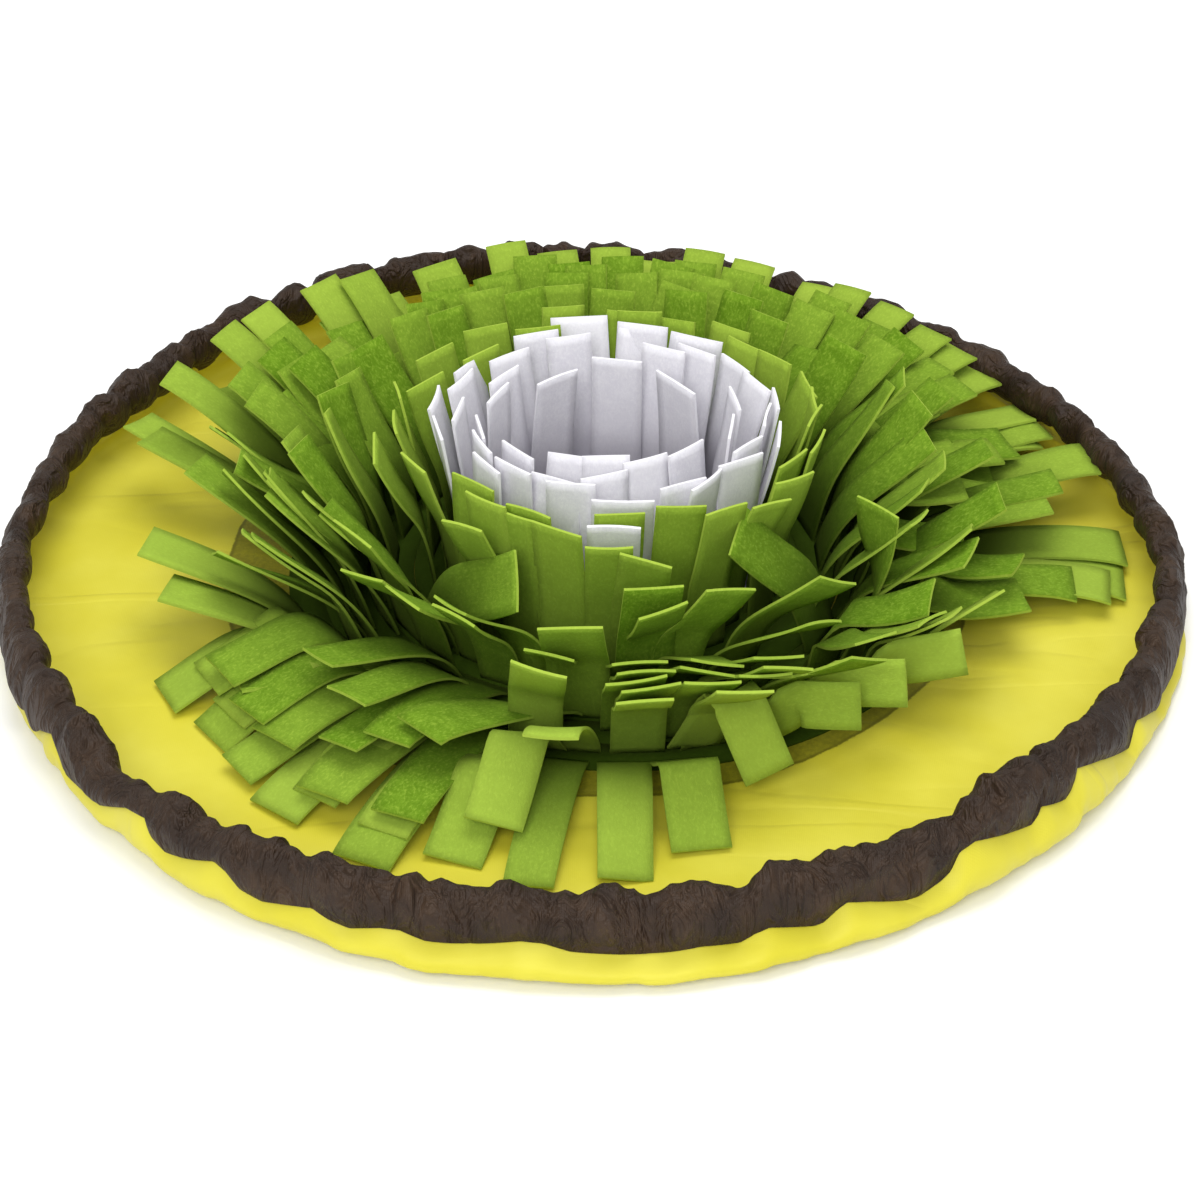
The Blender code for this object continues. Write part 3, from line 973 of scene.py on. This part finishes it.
def placeShown(row, radius, leftX, leftY, rightX, rightY, height=None, turn=0, droop=None):
    # the root's azimuth, the tip, its side, and the strip's width and droop
    if droop is None:
        droop = strips["highDroop"] if height is None else 0
    if not height:
        x, y = (leftX + rightX) / 2, (leftY + rightY) / 2
        height = reachHeight(row, radius, x, y, turn, height is None)
    left, right = pixelPoint(leftX, leftY, height), pixelPoint(rightX, rightY, height)
    middle = (left + right) / 2
    width = min(max((right - left).length, strips["narrowest"]), strips["widest"])
    side = np.array((right - left).normalized())
    return azimuthOf(row, middle) + turn, np.array(middle), side, width, droop


def pixelOf(point):
    place, forward, up = cameraAxes()
    away = Vector(point) * mm - place
    scale = view["focal"] / away.dot(forward)
    return Vector((view["side"] / 2 + away.x * scale, view["side"] / 2 - away.dot(up) * scale))


def placeCrossing(row, radius, leftX, leftY, rightX, rightY, height, footX, footY, lie="flat"):
    # tries turns of the root until the strip is seen to run through its foot
    seen = Vector(((leftX + rightX) / 2, (leftY + rightY) / 2))
    foot = Vector((footX, footY))
    point = pixelPoint(seen.x, seen.y, height)
    tries = []
    for turn in range(-50, 51, 2):
        root = footAt(row, radius, azimuthOf(row, point) + turn)
        way = pixelOf(root) - seen
        share = min(max((foot - seen).dot(way) / way.dot(way), 0.0), 1.0)
        miss = (seen + way * share - foot).length + 0.08 * abs(turn)
        miss += 1.5 * max(0.0, (point - root).length - strips["length"] * 0.97)
        tries.append((miss, turn))
    tip = (leftX, leftY, rightX, rightY, height, min(tries)[1], strips["crossDroop"])
    azimuth, middle, side, width, droop = placeShown(row, radius, *tip)
    sides = {"flat": side, "edge": np.array(cameraAxes()[1]), "stands": None}
    return azimuth, middle, sides[lie], width, droop


def direction(azimuth, lean):
    tilt = radians(lean)
    return np.array(outward(azimuth)) * sin(tilt) + np.array((0, 0, cos(tilt)))


def layStrip(felted, chance, azimuth, radius, tip=None):
    # one strip from its root to its tip, or as its ring leans where it has no tip
    row = felted.row
    out = outward(azimuth)
    side = np.array((-out.y, out.x, 0.0))
    middleX, middleY = row["middle"]
    root = np.array((middleX + out.x * radius, middleY + out.y * radius, strips["footLow"]))
    calm = strips["calm"] if row["colour"] == "white" else 1.0
    drift = [roundNoise(azimuth, waves, seed + radius * 0.05) for waves, seed in ((11, 31), (9, 51))]
    lean = lookUp(leans[row["name"]], azimuth)
    lean += calm * (chance.gauss(0, strips["leanJitter"]) + strips["leanDrift"] * drift[0])
    sweep = calm * (chance.gauss(0, strips["sweepJitter"]) + strips["sweepDrift"] * drift[1])
    if row["name"].startswith("wreath"):
        sweep += lookUp(leans["sweep"], azimuth)
    twist = radians(calm * chance.gauss(0, strips["twistJitter"]))
    cup = chance.uniform(-0.8, 0.8)
    # tone drawn at random from the ring's range, which also carries painted light and shade
    tone = chance.uniform(*row["tone"])
    shift = (chance.uniform(0, 5), chance.uniform(0, 5))
    length = strips["length"] * chance.uniform(0.975, 1.015)
    if tip is None:
        start = direction(azimuth, min(lean, 80) * 0.35)
        near = direction(azimuth + sweep * 0.5, lean * 0.6)
        far = direction(azimuth + sweep, lean * 1.07)
        end = root + (near * 0.25 + far * 0.75) * length * strips["taut"]
        finish = direction(azimuth + sweep * 1.3, lean * 1.12)
        width = strips["width"] * chance.uniform(0.98, 1.02)
        tipSide = side * cos(twist) + np.cross(finish, side) * sin(twist)
    else:
        end, tipSide, width, droop = tip[1:]
        chord = end - root
        turned = Vector((0, 0, 1)).rotation_difference(Vector(chord)) @ Vector(side)
        if tipSide is None:
            start = unit(chord)
            root[2] += strips["width"] * 0.45  # stands on its long edge
        else:
            # leaves its seam at a part of the angle that its tip lies at
            reach = degrees(atan2(hypot(chord[0], chord[1]), chord[2]))
            rise = min(reach, 88) * (0.35 + 0.3 * (min(reach, 90) / 90)**4) - droop * 0.3
            start = direction(degrees(atan2(chord[1], chord[0])), rise)
            if tipSide.dot(np.array(turned)) < 0:
                tipSide = -tipSide
        length = max(length, np.linalg.norm(chord) * 1.02)
        way = unit(end - (root + np.array((0, 0, 14.0))))
        finish = unit(way - np.array((0, 0, tan(radians(strips["hang"] + droop)))))
    line = stripLine(root, start, end, finish, length, strips["along"] + 1)
    stacked = strips["stack"] * (strips["stackFrom"] - radius)
    for k in range(3, len(line)):
        line[k, 2] = max(line[k, 2], floorUnder(line[k]) + stacked)
    surface, normals = stripSurface(line, side, tipSide, width, cup)
    felted.addStrip(surface, normals, tone, shift, strips["frontLift"] * max(0.0, -out.y)**4)


def makeRing(row, material):
    chance = random.Random(strips["seed"] + row["radius"])
    felted = FeltRing(row)
    felted.addBand()
    count = row["strips"]
    for layer, gap in enumerate((strips["layerGap"], -strips["layerGap"])):
        key, radius = (row["name"], layer), row["radius"] + gap
        tips = [placeShown(row, radius, *tip) for tip in shown.get(key, ())]
        tips += [placeCrossing(row, radius, *tip) for tip in crossing.get(key, ())]
        for tip in tips:
            layStrip(felted, chance, tip[0], radius, tip)
        for k in range(count if layer < row["layers"] else 0):
            azimuth = -180 + 360 / count * (k + 0.5 + 0.5 * layer) + chance.uniform(-0.12, 0.12) * 360 / count
            nearest = min([abs((tip[0] - azimuth + 180) % 360 - 180) for tip in tips] + [360])
            kept = not any(first < azimuth < last for first, last in bare.get(key, ()))
            if kept and nearest > row["room"] * 360 / count:
                layStrip(felted, chance, azimuth, radius)
    return felted.finish(material)


yellow = yellowCloth()
brown = brownCloth()
dark = darkCloth()
felts = {"green": feltCloth("green"), "white": feltCloth("white")}
print("cloths dyed")

groundPiece = makeGround(yellow)
casingPiece = makeCasing(brown)
patchPiece = makePatch(dark)
print("ground cloth, casing and patch sewn")

for ring in rings["rows"]:
    row = dict(zip(rings["columns"], ring))
    ringPiece = makeRing(row, felts[row["colour"]])
    print(row["name"], "laid,", len(ringPiece.data.polygons) * 2, "triangles")

studio = {
    "floorColour": (0.93, 0.93, 0.93),
    "floorSize": 4.0,  # metres from the middle to the edge
    "floorDrop": 0.0004,
    "sky": 0.64,
    "lamps": (("topLight", (0.1, 0.25, 1.7), 18.0), ("keyLight", (-0.3, -1.8, 1.45), 29.0)),
    "lampSize": 1.3,
}


def makeStudio():
    scene = bpy.context.scene
    scene.view_settings.view_transform = "Standard"
    world = bpy.data.worlds.new("studio")
    world.use_nodes = True
    back = world.node_tree.nodes["Background"]
    back.inputs["Color"].default_value = (1, 1, 1, 1)
    back.inputs["Strength"].default_value = studio["sky"]
    scene.world = world
    mesh = bpy.data.meshes.new("floor")
    size = studio["floorSize"]
    corners = [(-size, -size, 0), (size, -size, 0), (size, size, 0), (-size, size, 0)]
    mesh.from_pydata(corners, [], [(0, 1, 2, 3)])
    floor = addObject("floor", mesh)
    floor.location.z = -studio["floorDrop"]
    paper = Cloth("floorPaper")
    paper.surface({"Base Color": studio["floorColour"], "Roughness": 0.8})
    mesh.materials.append(paper.material)
    for name, place, power in studio["lamps"]:
        data = bpy.data.lights.new(name, "AREA")
        data.shape = "DISK"
        data.size = studio["lampSize"]
        data.energy = power
        lamp = addObject(name, data)
        lamp.location = place
        lamp.rotation_euler = (-Vector(place)).to_track_quat("-Z", "Y").to_euler()


makeStudio()
print("studio lit")
